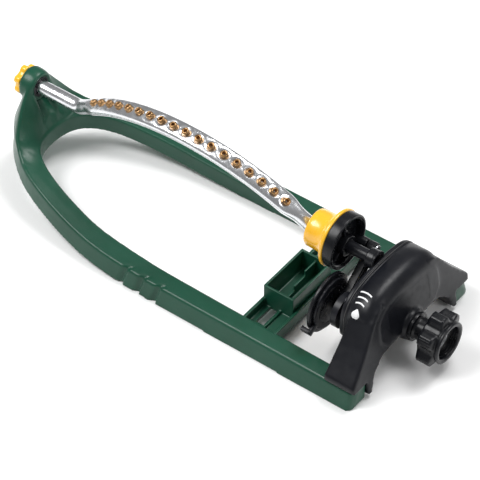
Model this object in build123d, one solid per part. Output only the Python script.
from build123d import *
import math
import os

# Oscillating garden sprinkler: moulded frame, curved spray bar, water motor and hose inlet.
#
# Millimetres.  The model is drawn with x = 0 at the square end of the frame, y across, z up
# from the ground, and is moved along x on export so that its box is centred on the origin.

# ---- overall -------------------------------------------------------------
FRAME_LENGTH = 386.0        # square end to the rounded tip
HOSE_NUT_FRONT = 34.0       # how far the hose nut stands out past the square end
CENTRE_SHIFT = (FRAME_LENGTH - HOSE_NUT_FRONT) / 2

# ---- frame ---------------------------------------------------------------
RAIL_HEIGHT = 16.0
RAIL_DRAFT = 5.6            # how far the outer wall leans in over the rail's height
TIP_DRAFT = 2.0
HORN_TOP = 90.0
BOSS_FRONT = -361.0
END_RADIUS = 6.0            # outer corner at the square end of each rail
# outline of the rise to the pivot boss, seen along x (half width, height), then from the side (x, height)
HORN_LINE = [(80, 20), (60, 24), (50, 31), (41, 38), (35, 45), (30, 51), (24, 59), (19, 66),
             (14, 73), (10, 84)]
HORN_SIDE = [(-387, 21), (-387, 44), (-374, 61), (-374, 95), (-361, 95), (-361, 66), (-353, 54),
             (-343, 44), (-330, 37), (-316, 31), (-299, 26.5), (-282, 22.9), (-266, 20.3),
             (-245, 18), (-245, 3)]
LOFT_TOP = 40.0
GRIP_GROOVES = (-222.0, -205.5, -189.0)
GROOVE_RADIUS = 2.6
GROOVE_Y = 75.7             # the grooves are half round, centred on the wall at mid height

# half outline of the frame in plan: x, half width
OUTER_LINE = [(0, 81), (-90, 80), (-180, 79), (-225, 78), (-253, 76), (-276, 72.4), (-300, 67),
              (-326, 59), (-344, 50.5), (-362, 37), (-375, 23.5), (-383, 11)]
INNER_LINE = [(0, 60), (-90, 59), (-170, 57.8), (-215, 56.6), (-250, 55), (-266, 53.5), (-282, 50.7),
              (-299, 46.9), (-316, 41.8), (-330, 35.5), (-341, 27.5), (-348, 16)]
INNER_TIP = 350.0
# the underside lifts off the ground towards the closed end: x, height
UNDERSIDE = [(-205, 0), (-231, 1.4), (-250, 2.8), (-266, 4.4), (-282, 7), (-299, 10.5), (-316, 14.1),
             (-330, 17.3), (-345, 20), (-362, 21.6), (-392, 22.5)]

# ---- spray bar axis and arc ----------------------------------------------
AXIS_Z = 75.5
BAR_TILT = 18.0             # the bar leans to -y at rest
BEND_RADIUS = 150.0         # centre line of the tube
BEND_X = -206.0
BEND_Z = -101.5             # from the bar's axis
BEND_HALF_ANGLE = 37.3
TUBE_R = 6.0
TUBE_WALL = 0.9
FLAT_HALF_WIDTH = 7.9
FLAT_HALF_HEIGHT = 4.2
JET_COUNT = 18
JET_STEP = 4.4              # degrees between jets along the bend
JET_FIRST = -37.9
JET_HEAD_R = 3.2
JET_STEM_R = 2.1
JET_BORE_R = 0.7
JET_PROUD = 2.6

# ---- drive linkage -------------------------------------------------------
CRANK_Y, CRANK_Z = -31.0, 43.5
CRANK_R = 9.945
CRANK_ANGLE = -22.03
ROCKER_R = 17.0
ROCKER_ANGLE = -25.0
LINK_PIN_R = 2.2
LINK_EYE_BORE = 4.8
LINK_EYE_R = 7.4
DISC_OFFSET = 5.5           # the drive disc sits off the bar's axis, on the jets' side

# ---- gears ---------------------------------------------------------------
MODULE = 0.55
WHEEL_TEETH = 36
PINION_TEETH = 12
GEAR_SPACING = MODULE * (WHEEL_TEETH + PINION_TEETH) / 2
BACKLASH = 0.10

# ---- housing -------------------------------------------------------------
WALL = 2.6
COVER_FRONT, SHELL_FRONT, SHELL_REAR = -35.0, -30.5, 2.0
REAR_LEAN = 0.16            # the back of the housing leans forward as it rises
INLET_Z = 29.0
NOSE_R = 7.8
NOSE_BORE_R = 6.0
NOSE_FRONT = -41.5

# ---- hose coupling -------------------------------------------------------
HOSE_THREAD_R = 13.3        # 3/4 inch garden hose thread, female
THREAD_START = 26.0
WASHER_SEAT_R = 12.8
NUT_BACK = 15.0
NUT_RING_R = 17.4
NUT_LOBES = 6

X_PLANE = Plane.YZ          # sketches in y and z, extruded along +x


def rod(x0, x1, radius, y=0.0, z=0.0):
    """Round bar along x from x0 to x1."""
    return extrude(X_PLANE.offset(x0) * Pos(y, z) * Circle(radius), x1 - x0)


def ring(x0, x1, outer, inner, y=0.0, z=0.0):
    return extrude(X_PLANE.offset(x0) * Pos(y, z) * (Circle(outer) - Circle(inner)), x1 - x0)


def slab(points, x0, x1):
    """Closed outline in y and z, extruded along x."""
    return extrude(X_PLANE.offset(x0) * make_face(Polyline(*points, close=True)), x1 - x0)


def block(x0, x1, y0, y1, z0, z1):
    return Pos((x0 + x1) / 2, (y0 + y1) / 2, (z0 + z1) / 2) * Box(x1 - x0, y1 - y0, z1 - z0)


def mirrored(points):
    """Half outline (y >= 0 last) completed with its mirror image."""
    return points + [(-y, z) for y, z in reversed(points)]


def polar(radius, degrees):
    angle = math.radians(degrees)
    return radius * math.cos(angle), radius * math.sin(angle)


def on_bar(shape):
    """Move a piece from the bar's own upright frame (axis on x) to its rest place."""
    return Pos(0, 0, AXIS_Z) * Rot(BAR_TILT, 0, 0) * shape


def export(name, shape):
    solids = shape.solids() if not isinstance(shape, Solid) else [shape]
    moved = [solid.moved(Location((CENTRE_SHIFT, 0, 0))) for solid in solids]
    export_step(moved[0] if len(moved) == 1 else Compound(children=moved), f"parts/{name}.step")


# ---- frame ---------------------------------------------------------------

def closed_outline(half, tip_x, height, inset=None):
    """Face at the given height whose edge follows the half outline on both sides of the frame."""
    inset = inset or (lambda x: 0.0)
    side = [(x, y - inset(x)) for x, y in half]
    curve = side + [(tip_x + inset(tip_x), 0)] + [(x, -y) for x, y in reversed(side)]
    edge = Spline(*[(x, y, height) for x, y in curve], tangents=[(-1, 0, 0), (1, 0, 0)])
    return make_face([edge, Line(edge @ 1, edge @ 0)])


def underside(x):
    """Height of the frame's underside above the ground at x."""
    for (x1, z1), (x0, z0) in zip(UNDERSIDE, UNDERSIDE[1:]):
        if x0 <= x <= x1:
            return z1 + (z0 - z1) * (x1 - x) / (x1 - x0)
    return 0.0


def outer_inset(height):
    """How far the drafted outer wall stands inside its line at the given height."""
    def inset(x):
        blend = min(max((-x - 230) / 130, 0), 1)
        slope = (RAIL_DRAFT + (TIP_DRAFT - RAIL_DRAFT) * blend) / RAIL_HEIGHT
        return slope * (height - underside(x))
    return inset


def side_band(low, high):
    """Slab across the frame between the underside line raised by low and by high."""
    bottom = [(10, low)] + [(x, z + low) for x, z in UNDERSIDE]
    top = [(x, z + high) for x, z in reversed(UNDERSIDE)] + [(10, high)]
    return extrude(Plane.XZ.offset(-90) * make_face(Polyline(*bottom, *top, close=True)), 180)


def frame_ring():
    """The horseshoe: rails that lift and rise to the pivot boss at the closed end."""
    bottom = closed_outline(OUTER_LINE, -FRAME_LENGTH, 0, outer_inset(0))
    top = closed_outline(OUTER_LINE, -FRAME_LENGTH, LOFT_TOP, outer_inset(LOFT_TOP))
    body = loft([bottom, top], ruled=True)
    horn = (body + extrude(top, HORN_TOP - LOFT_TOP)) & slab(mirrored(HORN_LINE), -FRAME_LENGTH - 5, -240)
    horn &= extrude(Plane.XZ.offset(-90) * make_face(Polyline(*HORN_SIDE, close=True)), 180)
    opening = extrude(closed_outline(INNER_LINE, -INNER_TIP, -1), HORN_TOP + 2)
    return (body & side_band(0, RAIL_HEIGHT)) + horn - opening


def grip_cuts():
    lean = math.degrees(math.atan2(RAIL_DRAFT, RAIL_HEIGHT))
    cuts = []
    for x in GRIP_GROOVES:
        for side in (1, -1):
            cuts.append(Pos(x, side * GROOVE_Y, RAIL_HEIGHT / 2) * Rot(side * lean, 0, 0)
                        * Cylinder(GROOVE_RADIUS, RAIL_HEIGHT * 1.6))
    return cuts


def end_cuts():
    """Rounds the outer corner of each rail's square end, leaning with the drafted wall."""
    lean = math.degrees(math.atan2(RAIL_DRAFT, RAIL_HEIGHT))
    cuts = []
    for side in (1, -1):
        corner = Pos(4, side * 4, 0) * Box(8, 8, 60) - Cylinder(END_RADIUS, 61)
        cuts.append(Pos(-END_RADIUS, side * (81 - END_RADIUS), 0) * Rot(side * lean, 0, 0) * corner)
    return cuts


def boss():
    return rod(-374, BOSS_FRONT, 14, z=AXIS_Z)


def tray_hollow():
    return block(-112, -88, -32, 14, 9.5, 30)


def crossbar():
    """Two ribbed beams with a slot between them."""
    beams = block(-114.5, -82.5, -60.5, 60.5, 5.5, 9)
    for x, top in ((-114.5, RAIL_HEIGHT), (-99.0, 11), (-85.1, RAIL_HEIGHT)):
        beams += block(x, x + 2.6, -60.5, 60.5, 5.5, top)
    for y0, y1 in ((33, 53), (-53, -33)):
        beams -= block(-107, -99, y0, y1, 0, RAIL_HEIGHT + 4)
    return beams - tray_hollow()


def tray():
    body = block(-114, -86, -34, 16, 7, 28.5) - tray_hollow()
    for y0, y1, top in ((0, 14.5, 25), (-14, 0.5, 20), (-32.5, -13.5, 15)):
        body += block(-100.4, -98.8, y0, y1, 9, top)
    return body


def base_frame():
    shape = frame_ring() + boss() + crossbar() + tray()
    for cut in grip_cuts() + end_cuts():
        shape -= cut
    shape -= rod(-375, -352, 8.5, z=AXIS_Z)
    for side in (1, -1):
        for x in (-20, -6):
            shape -= Pos(x, side * 68, RAIL_HEIGHT / 2) * Cylinder(2.0, RAIL_HEIGHT + 4)
            shape -= Pos(x, side * 68, 2) * Cylinder(3.8, 4)
    return shape


def foot_screws():
    screws = []
    for side in (1, -1):
        for x in (-20, -6):
            screws.append(Pos(x, side * 68, 0.8) * (Pos(0, 0, 1.6) * Cylinder(3.5, 2.4)
                          + Pos(0, 0, 11.3) * Cylinder(1.7, 18.6)))
    return Compound(children=screws)


# ---- housing -------------------------------------------------------------

def arch_face(x, inset=0.0):
    """Rounded arch that the motor housing is extruded from."""
    right = [Line((0, 22), (34, 22)), Line((34, 22), (47, 36)), Line((47, 36), (47, 50)),
             ThreePointArc((47, 50), (41.8, 64.6), (27, 72.8)),
             ThreePointArc((27, 72.8), (14, 74.8), (0, 75.5))]
    wire = right + [edge.mirror(Plane.YZ) for edge in right]
    face = make_face(wire)
    if inset:
        face = offset(face, -inset)
    return X_PLANE.offset(x) * face


def behind_rear(gap=0.0):
    """Half space behind the leaning back of the housing."""
    corner = SHELL_REAR - gap + REAR_LEAN * 16
    outline = [(corner, 0), (corner - REAR_LEAN * 110, 110), (80, 110), (80, 0)]
    return extrude(Plane.XZ.offset(-100) * make_face(Polyline(*outline, close=True)), 200)


def leg(side):
    """Foot of the housing: sweeps out over the rail, with a lip down the rail's inner wall."""
    outer = [(36, 68.3), (44, 60), (51, 51), (58, 42), (67, 32), (77.3, 21.5), (77.3, RAIL_HEIGHT),
             (59.6, RAIL_HEIGHT), (59.6, 3), (55, 3), (50, 16), (36, 28)]
    body = slab([(side * y, z) for y, z in outer], -27, SHELL_REAR)
    for x in (-20, -6):
        body -= Pos(x, side * 68, 18.6) * Cylinder(1.75, 7.2)
    return body


def housing_shell():
    shape = extrude(arch_face(SHELL_FRONT), SHELL_REAR - SHELL_FRONT)
    shape += leg(1) + leg(-1)
    shape -= behind_rear()
    shape += rod(-8, 3, 12.3, z=INLET_Z)
    cavity = extrude(arch_face(SHELL_FRONT, WALL), SHELL_REAR - SHELL_FRONT) - behind_rear(WALL)
    shape -= cavity
    shape -= rod(-12, 4, 9.0, z=INLET_Z)
    for y, z in COVER_SCREWS:
        shape += rod(SHELL_FRONT, -5, 2.9, y, z) & extrude(arch_face(SHELL_FRONT, 0.5), 28)
        shape -= rod(SHELL_FRONT, -15, 1.3, y, z)
    return shape


COVER_SCREWS = [(-41.5, 34.5), (41.5, 34.5), (-37.5, 64), (37.5, 64)]


def housing_cover():
    plate = extrude(arch_face(COVER_FRONT), SHELL_FRONT - COVER_FRONT - 0.8)
    plate -= extrude(arch_face(COVER_FRONT, 4.5), 1.6)
    plate += rod(NOSE_FRONT, SHELL_FRONT - 0.8, NOSE_R, z=AXIS_Z)
    plate -= block(-34.5, -30, -4, 4, 60, 72.4)
    plate += rod(-38.5, COVER_FRONT + 2, 7.5, CRANK_Y, CRANK_Z)
    plate -= rod(-50, -33.5, NOSE_BORE_R, z=AXIS_Z)
    plate -= rod(-50, -20, 5.0, CRANK_Y, CRANK_Z)
    for y, z in COVER_SCREWS:
        plate += rod(COVER_FRONT, COVER_FRONT + 2, 4.0, y, z) & extrude(arch_face(COVER_FRONT), 2)
        plate -= rod(-40, -20, 1.7, y, z) + rod(COVER_FRONT - 1, COVER_FRONT + 1.4, 3.0, y, z)
    return plate


def cover_gasket():
    gasket = extrude(arch_face(SHELL_FRONT - 0.8) - arch_face(SHELL_FRONT - 0.8, WALL), 0.8)
    for y, z in COVER_SCREWS:
        gasket += rod(SHELL_FRONT - 0.8, SHELL_FRONT, 2.9, y, z) & extrude(
            arch_face(SHELL_FRONT - 0.8), 0.8)
        gasket -= rod(-40, -20, 1.7, y, z)
    return gasket


def cover_screws():
    heads = [rod(-35.4, -33.6, 2.8, y, z) + rod(-34, -17, 1.2, y, z) for y, z in COVER_SCREWS]
    return Compound(children=heads)


def gearbox_plate():
    plate = extrude(arch_face(-20, WALL), 2.5)
    for y, z in COVER_SCREWS:
        plate -= rod(-22, -16, 3.0, y, z)
    plate -= rod(-22, -16, 1.3, TURBINE_Y, CRANK_Z)
    plate -= rod(-22, -16, 1.0, COMPOUND_Y, CRANK_Z)
    for y in (-10, 0, 10, 20):
        plate -= rod(-22, -16, 3.0, y, 60)
    return plate


COMPOUND_Y = CRANK_Y + GEAR_SPACING
TURBINE_Y = COMPOUND_Y + GEAR_SPACING


# ---- gears ---------------------------------------------------------------

def gear_face(teeth, x, phase):
    """Involute gear outline at x; phase is the angle of one tooth's centre in degrees."""
    pitch_r = MODULE * teeth / 2
    base_r = pitch_r * math.cos(math.radians(20))
    tip_r, root_r = pitch_r + MODULE, pitch_r - 1.2 * MODULE
    half = (math.pi * MODULE / 2 - BACKLASH) / 2 / pitch_r
    inv_pitch = math.tan(math.radians(20)) - math.radians(20)
    start_r = max(base_r, root_r)
    flank = []
    for step in range(5):
        r = start_r + (tip_r - start_r) * step / 4
        pressure = math.acos(min(base_r / r, 1))
        flank.append((r, half + inv_pitch - (math.tan(pressure) - pressure)))
    points = []
    for tooth in range(teeth):
        centre = math.radians(phase) + 2 * math.pi * tooth / teeth
        points.append((root_r, centre - flank[0][1]))
        points += [(r, centre - a) for r, a in flank]
        points += [(r, centre + a) for r, a in reversed(flank)]
        points.append((root_r, centre + flank[0][1]))
    outline = [(r * math.cos(a), r * math.sin(a)) for r, a in points]
    if root_r >= base_r:
        outline = [p for i, p in enumerate(outline) if i == 0 or math.dist(p, outline[i - 1]) > 1e-6]
    return X_PLANE.offset(x) * make_face(Polyline(*outline, close=True))


def gear(teeth, x0, x1, y, phase):
    return Pos(0, y, CRANK_Z) * extrude(gear_face(teeth, x0, phase), x1 - x0)


def output_gear():
    body = gear(WHEEL_TEETH, -29, -25.5, CRANK_Y, 0)
    return body - rod(-30, -24, 3.0, CRANK_Y, CRANK_Z)


def compound_gear():
    small = gear(PINION_TEETH, -29.2, -24.5, COMPOUND_Y, 180 + 180 / PINION_TEETH)
    large = gear(WHEEL_TEETH, -24.5, -21.5, COMPOUND_Y, 0)
    return small + large - rod(-30, -20, 1.05, COMPOUND_Y, CRANK_Z)


def turbine_rotor():
    hub = ring(-15, -9, 4.0, 1.2, TURBINE_Y, CRANK_Z)
    for number in range(8):
        angle = 360 / 8 * number
        blade = Pos(-12, 0, 7.6) * Rot(0, 0, 28) * Box(6.4, 1.1, 8.4)
        hub += Pos(0, TURBINE_Y, CRANK_Z) * Rot(angle, 0, 0) * blade
    hub += ring(-12.5, -11.5, 12.4, 11.0, TURBINE_Y, CRANK_Z)
    return hub


def turbine_shaft():
    pinion = gear(PINION_TEETH, -24.5, -21.2, TURBINE_Y, 180 + 180 / PINION_TEETH)
    return pinion + rod(-21.2, -8.6, 1.2, TURBINE_Y, CRANK_Z)


# ---- crank, dial and link ------------------------------------------------

def crank_pin_yz():
    dy, dz = polar(CRANK_R, CRANK_ANGLE)
    return CRANK_Y + dy, CRANK_Z + dz


def disc_pin_yz():
    dy, dz = polar(ROCKER_R, ROCKER_ANGLE)
    return dy, AXIS_Z + dz


def crank_shaft():
    """Shaft with its crank web and pin in one piece."""
    web = rod(-44.6, -39.4, 14.2, CRANK_Y, CRANK_Z)
    pin_y, pin_z = crank_pin_yz()
    return (web + rod(-39.4, -24.9, 3.0, CRANK_Y, CRANK_Z)
            + rod(-55.4, -44.6, LINK_PIN_R, pin_y, pin_z))


def crank_wheel():
    pin_y, pin_z = crank_pin_yz()
    wheel = rod(-58.2, -55.2, 25, CRANK_Y, CRANK_Z) + rod(-55.2, -52.4, 15.6, CRANK_Y, CRANK_Z)
    wheel -= rod(-58.4, -57.2, 21, CRANK_Y, CRANK_Z)
    return wheel - rod(-55.4, -52, LINK_PIN_R, pin_y, pin_z)


def range_dial():
    dial = ring(-54.9, -52.6, 21.4, 15.8, CRANK_Y, CRANK_Z)
    for number in range(12):
        angle = 202 + 30 * number
        dy, dz = polar(18.6, angle)
        dial -= rod(-53.1, -52, 1.0, CRANK_Y + dy, CRANK_Z + dz)
    arm = Rot(202, 0, 0) * (block(-54.9, -52.6, 20.5, 29.5, -2, 2)
                            + block(-61.5, -52.4, 25.7, 29.5, -2, 2))
    return dial + Pos(0, CRANK_Y, CRANK_Z) * arm


def link_arm():
    """Flat link; the eye at the crank end has working clearance on the pin."""
    top, low = disc_pin_yz(), crank_pin_yz()
    dy, dz = top[0] - low[0], top[1] - low[1]
    length, tilt = math.hypot(dy, dz), math.degrees(math.atan2(dz, dy))
    bar = block(-51.8, -45.6, 4, length, -3.3, 3.3)
    bar += rod(-51.8, -45.6, LINK_EYE_R, 0, 0) + rod(-51.8, -45.6, 4.6, length, 0)
    bar -= block(-46.8, -45, LINK_EYE_R + 2, length - 6, -1.6, 1.6)
    bar -= rod(-52, -45, LINK_EYE_BORE, 0, 0) + rod(-52, -45, LINK_PIN_R + 0.06, length, 0)
    return Pos(0, *low) * Rot(tilt, 0, 0) * bar


# ---- spray bar -----------------------------------------------------------

def section(x, z, slope, half_width, half_height):
    """Oval section of the tube, square to a direction that rises by slope degrees along x."""
    plane = Plane(origin=(x, 0, z), x_dir=(0, 1, 0), z_dir=(math.cos(math.radians(slope)), 0,
                                                             math.sin(math.radians(slope))))
    shape = Circle(half_width) if half_width == half_height else Ellipse(half_width, half_height)
    return plane * shape


def bend_point(degrees, radius=BEND_RADIUS):
    angle = math.radians(degrees)
    return BEND_X + radius * math.sin(angle), BEND_Z + radius * math.cos(angle)


def tube_body(trim):
    """Solid form of the tube, made smaller all round by trim."""
    wide, high, round_r = FLAT_HALF_WIDTH - trim, FLAT_HALF_HEIGHT - trim, TUBE_R - trim
    half = BEND_HALF_ANGLE
    x0, z0 = bend_point(-half)
    x1, z1 = bend_point(half)
    axis = Axis((BEND_X, 0, BEND_Z), (0, 1, 0))
    body = revolve(section(x0, z0, half, wide, high), axis, 2 * half)
    rise, run = math.sin(math.radians(half)), math.cos(math.radians(half))
    left = 15.0
    body += loft([section(x0, z0, half, wide, high),
                  section(x0 - left * run, z0 - left * rise, half, round_r, round_r)])
    body += loft([section(x1, z1, -half, wide, high),
                  section(x1 + left * run, z1 - left * rise, -half, round_r, round_r)])
    right_end = 34.0
    body += extrude(section(x1 + left * run, z1 - left * rise, -half, round_r, round_r), right_end - left)
    corner_x = x0 - z0 / rise * run
    path = FilletPolyline((x0 - left * run, 0, z0 - left * rise), (corner_x, 0, 0), (-371, 0, 0),
                          radius=14)
    body += sweep(section(x0 - left * run, z0 - left * rise, half, round_r, round_r), path)
    return body


def jet_place(number):
    degrees = JET_FIRST + JET_STEP * number
    x, z = bend_point(degrees)
    return Pos(x, 0, z) * Rot(0, degrees, 0)


def spray_tube():
    tube = tube_body(0) - tube_body(TUBE_WALL)
    for number in range(JET_COUNT):
        tube -= jet_place(number) * (Pos(0, 0, FLAT_HALF_HEIGHT) * Cylinder(JET_STEM_R, 4)
                                     + Pos(0, 0, FLAT_HALF_HEIGHT + 2) * Cylinder(JET_HEAD_R, 4))
    return on_bar(tube)


def jet(number):
    head_z = FLAT_HALF_HEIGHT + JET_PROUD / 2
    body = Pos(0, 0, head_z) * Cylinder(JET_HEAD_R, JET_PROUD)
    body = chamfer(body.edges().group_by(Axis.Z)[-1], 0.7)
    body += Pos(0, 0, FLAT_HALF_HEIGHT - 1) * Cylinder(JET_STEM_R, 2.4)
    body -= Pos(0, 0, head_z) * Cylinder(JET_BORE_R, 10)
    return on_bar(jet_place(number) * body)


def tube_collar():
    body = rod(-91, -71, 15.4, z=3.6) + rod(-71.2, -68, 23.6, z=DISC_OFFSET)
    body = fillet(body.edges().filter_by(GeomType.CIRCLE).group_by(Axis.X)[0], 2.0)
    body -= tube_body(0)
    return on_bar(body - rod(-84, -60, 5.0))


def drive_disc():
    disc = rod(-68, -59.2, 23, z=DISC_OFFSET)
    disc -= rod(-65.5, -59, 18.6, z=DISC_OFFSET)
    pin_y, pin_z = polar(ROCKER_R, ROCKER_ANGLE - BAR_TILT)
    disc += rod(-65.6, -59.2, 8.5) + rod(-68, -53.2, 5.4, pin_y, pin_z)
    disc += rod(-53.2, -44.8, LINK_PIN_R, pin_y, pin_z)
    for angle in (75, 195, 315):
        rib = Rot(angle, 0, 0) * block(-65.6, -62.5, 7, 18, -0.9, 0.9)
        disc += rib & rod(-66, -59, 18.8, z=DISC_OFFSET)
    return on_bar(disc - rod(-70, -50, 5.0))


def journal():
    return on_bar(ring(-84, -37, 5.0, 3.4))


def journal_seal():
    return on_bar(ring(-36.9, -34.6, 5.9, 5.0) - ring(-36.4, -35.1, 8, 5.5))


def link_cap():
    pin_y, pin_z = polar(ROCKER_R, ROCKER_ANGLE - BAR_TILT)
    return on_bar(ring(-45.3, -43.9, 4.0, LINK_PIN_R, pin_y, pin_z))


def gear_arbor():
    return rod(-29.8, -17.5, 1.0, COMPOUND_Y, CRANK_Z)


def crank_bush():
    return ring(-38.5, -32.6, 5.0, 3.06, CRANK_Y, CRANK_Z)


def outlet_bush():
    return ring(NOSE_FRONT + 0.1, -37.2, NOSE_BORE_R, 5.06, z=AXIS_Z)


def pivot_bush():
    return ring(-368, BOSS_FRONT, 8.5, 6.06, z=AXIS_Z)


# ---- end plug ------------------------------------------------------------

def end_plug():
    cap = rod(-380.5, -374.3, 11.6, z=AXIS_Z)
    for number in range(6):
        dy, dz = polar(10.2, 60 * number + 30)
        cap += rod(-380.5, -374.3, 3.2, dy, AXIS_Z + dz)
    cap += rod(-374.3, -371.6, 8.2, z=AXIS_Z)
    return cap - rod(-376.5, -371.5, 4.0, z=AXIS_Z)


def plug_seal():
    return ring(-374.3, -373.0, 8.4, 8.2, z=AXIS_Z)


def cleaning_pin():
    return rod(-376.5, -373, 4.0, z=AXIS_Z) + rod(-373, -360, 0.5, z=AXIS_Z)


# ---- hose inlet ----------------------------------------------------------

def inlet_pipe():
    pipe = rod(-3, 22.4, 9.0, z=INLET_Z)
    pipe += rod(3, 5.5, 12.3, z=INLET_Z) + rod(20.9, 22.4, 12.2, z=INLET_Z)
    return pipe - rod(-4, 25, 6.2, z=INLET_Z)


def hose_nut():
    body = rod(NUT_BACK, HOSE_NUT_FRONT, 16.2) + rod(HOSE_NUT_FRONT - 7, HOSE_NUT_FRONT, NUT_RING_R)
    for number in range(NUT_LOBES):
        dy, dz = polar(17.2, 90 + 360 / NUT_LOBES * number)
        body += rod(NUT_BACK + 1, HOSE_NUT_FRONT - 5, 5.2, dy, dz)
    body -= rod(THREAD_START, HOSE_NUT_FRONT + 1, HOSE_THREAD_R)
    body -= rod(20.6, 30, WASHER_SEAT_R) + rod(0, 30, 9.1)
    return Pos(0, 0, INLET_Z) * body


def hose_washer():
    return ring(22.5, 24.9, 12.7, 7.6, z=INLET_Z)


def filter_screen():
    return ring(24.9, 25.9, 12.4, 9.0, z=INLET_Z) + rod(25.4, 25.9, 9.2, z=INLET_Z)


def main():
    os.makedirs("parts", exist_ok=True)
    makers = [base_frame, foot_screws, gear_arbor, crank_bush, housing_shell, housing_cover,
              cover_gasket, cover_screws, gearbox_plate, output_gear, compound_gear, turbine_rotor,
              turbine_shaft, crank_shaft, crank_wheel, range_dial, link_arm, link_cap, spray_tube,
              tube_collar, drive_disc, journal, journal_seal, outlet_bush, pivot_bush, end_plug,
              plug_seal, cleaning_pin, inlet_pipe, hose_nut, hose_washer, filter_screen]
    for make in makers:
        export(make.__name__, make())
    for number in range(JET_COUNT):
        export(f"jet_{number + 1:02d}", jet(number))


main()
